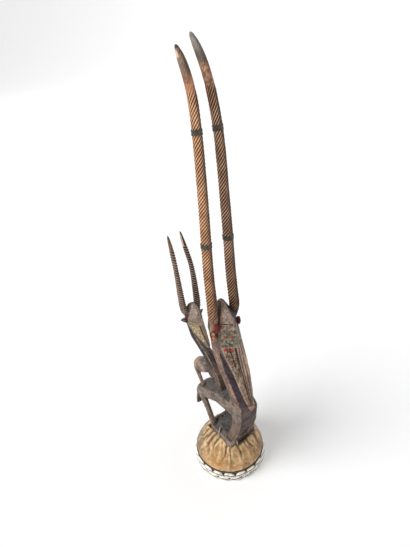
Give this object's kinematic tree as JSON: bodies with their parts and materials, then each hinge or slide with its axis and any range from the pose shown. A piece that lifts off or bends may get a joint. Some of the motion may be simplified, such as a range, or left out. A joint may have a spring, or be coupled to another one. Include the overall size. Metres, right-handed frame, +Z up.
{
  "type": "chiwara headdress",
  "caption": "Carved antelope headdress: a doe with her kid on her back, long ringed horns, a plinth lashed to a gathered hide cap with cowrie shells round its rim.",
  "frame": {"origin": "middle of the underside of the whole part's bounding box, on the floor that the cap's rim stands on", "axes": "+Z up along the horns, +X ahead of the animals (the way the doe's face looks), +Y to the animals' left"},
  "size_m": [0.2304, 0.1634, 0.8726],
  "materials": {
    "carved_wood": "hand carved, worn and smoke-darkened, dull",
    "hide": "bare gathered hide, matt",
    "dark_cord": "dark twisted fibre, matt",
    "shell": "cowrie shell, soft gloss",
    "tin": "thin embossed tin, tarnished",
    "brass_sheet": "thin embossed sheet, tarnished",
    "dark_band": "dark grey-green metal, dull",
    "copper": "copper wire, half polished",
    "wool": "dyed wool",
    "lashing": "pale hide cord, matt"
  },
  "bodies": {
    "root": {"carved_figure": "carved_wood", "hide_cap": "hide", "rim_band": "dark_cord", "rim_cord": "dark_cord", "cowrie_upper_1": "shell", "cowrie_lower_1": "shell", "cowrie_upper_2": "shell", "cowrie_lower_2": "shell", "cowrie_upper_3": "shell", "cowrie_lower_3": "shell", "cowrie_upper_4": "shell", "cowrie_lower_4": "shell", "cowrie_upper_5": "shell", "cowrie_lower_5": "shell", "cowrie_upper_6": "shell", "cowrie_lower_6": "shell", "cowrie_upper_7": "shell", "cowrie_lower_7": "shell", "cowrie_upper_8": "shell", "cowrie_lower_8": "shell", "cowrie_upper_9": "shell", "cowrie_lower_9": "shell", "cowrie_upper_10": "shell", "cowrie_lower_10": "shell", "cowrie_upper_11": "shell", "cowrie_lower_11": "shell", "cowrie_upper_12": "shell", "cowrie_lower_12": "shell", "cowrie_upper_13": "shell", "cowrie_lower_13": "shell", "cowrie_upper_14": "shell", "cowrie_lower_14": "shell", "cowrie_upper_15": "shell", "cowrie_lower_15": "shell", "cowrie_upper_16": "shell", "cowrie_lower_16": "shell", "cowrie_upper_17": "shell", "cowrie_lower_17": "shell", "cowrie_upper_18": "shell", "cowrie_lower_18": "shell", "cowrie_upper_19": "shell", "cowrie_lower_19": "shell", "horn_band_right_lower": "dark_band", "horn_band_right_upper": "dark_band", "wool_tuft_right": "wool", "horn_band_left_lower": "dark_band", "horn_band_left_upper": "dark_band", "wool_tuft_left": "wool", "ear_ring": "copper", "brow_plate": "tin", "nose_plate": "tin", "nose_strip": "tin", "kid_face_plate": "brass_sheet", "side_lashing_right": "lashing", "side_lashing_left": "lashing", "front_lashing": "lashing"}
  },
  "joints": []
}
